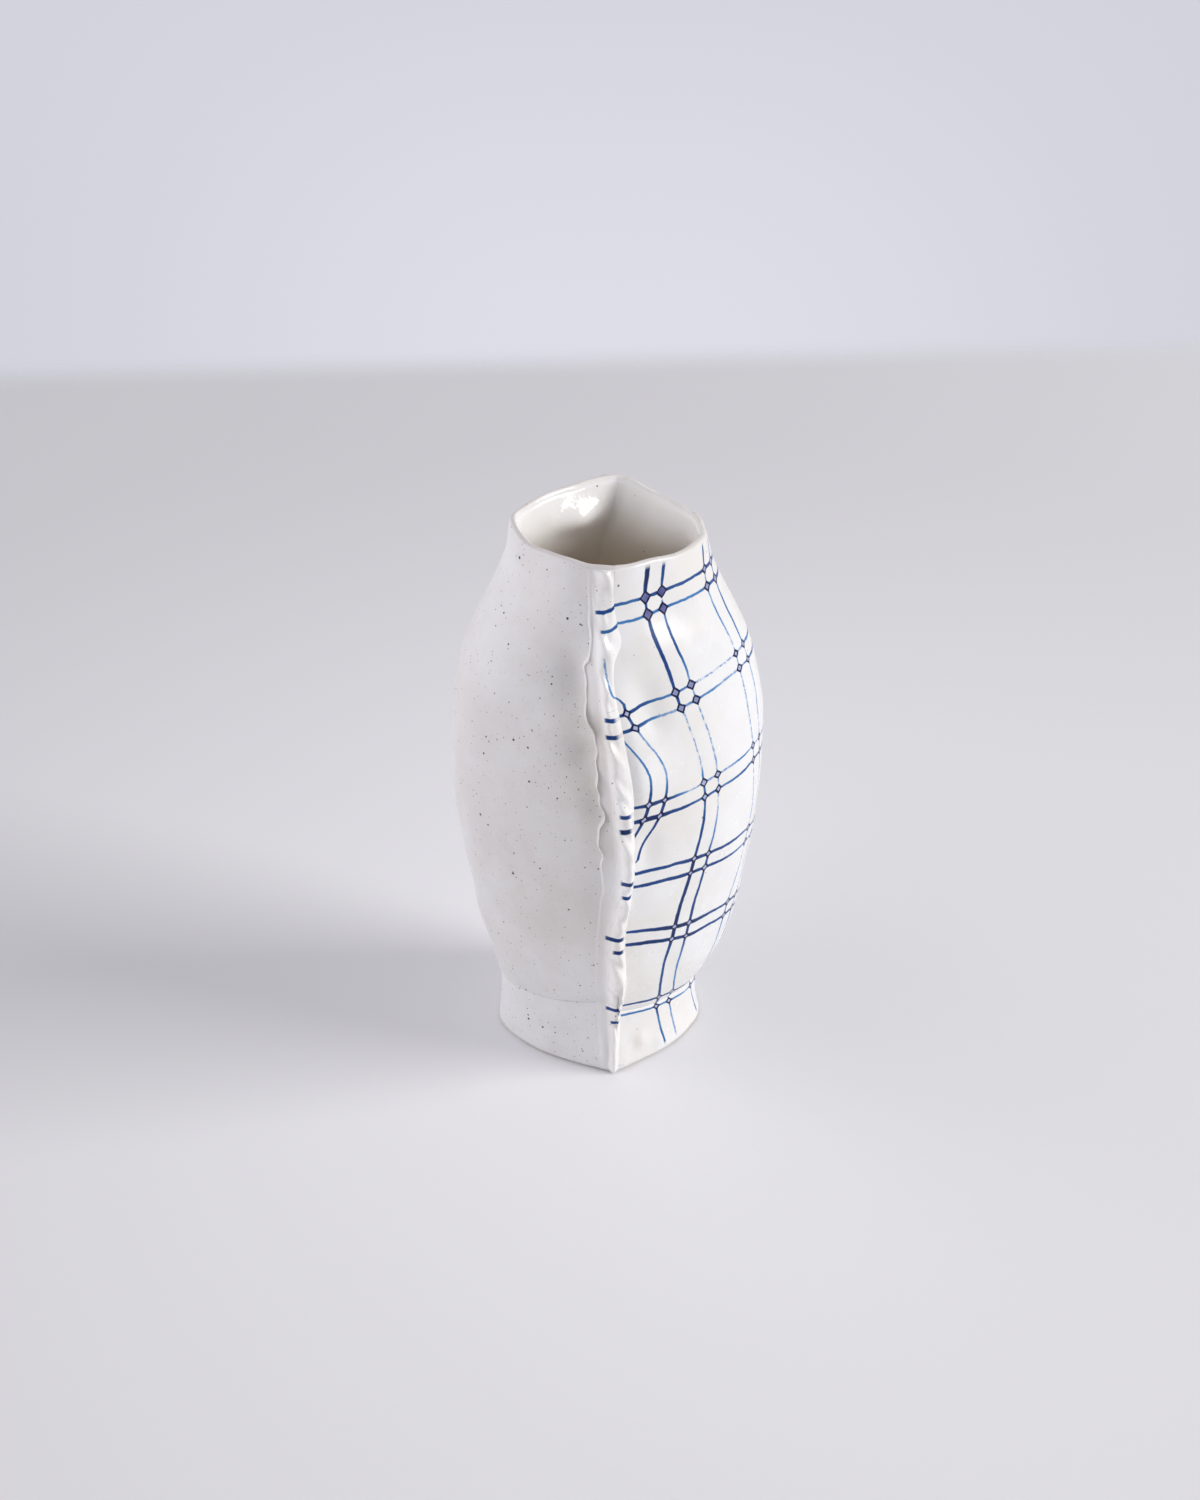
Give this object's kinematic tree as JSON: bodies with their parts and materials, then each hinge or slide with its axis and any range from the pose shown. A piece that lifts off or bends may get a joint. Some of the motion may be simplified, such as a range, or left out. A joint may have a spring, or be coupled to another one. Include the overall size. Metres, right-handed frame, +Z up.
{
  "type": "pillow vase",
  "caption": "Slab-built ceramic pillow vase: a plain speckled panel and a blue-checked painted panel joined by pinched seam strips over a flared foot, open at the top to hold stems.",
  "frame": {"origin": "middle of the foot on the table", "axes": "+Z up to the lip, -Y to the front seam, +X to the painted panel"},
  "size_m": [0.1096, 0.1092, 0.2],
  "materials": {
    "speckled_stoneware": "satin, iron speckles",
    "painted_glaze": "glossy white with a blue double-line check",
    "seam_glaze": "satin white, iron speckles",
    "floor_clay": "glazed inside, bare clay under the foot"
  },
  "bodies": {
    "root": {"plain_panel": "speckled_stoneware", "painted_panel": "painted_glaze", "plain_foot_band": "speckled_stoneware", "painted_foot_band": "painted_glaze", "front_seam_strip": "seam_glaze", "rear_seam_strip": "seam_glaze", "floor_slab": "floor_clay", "floor_coil": "floor_clay"}
  },
  "joints": []
}
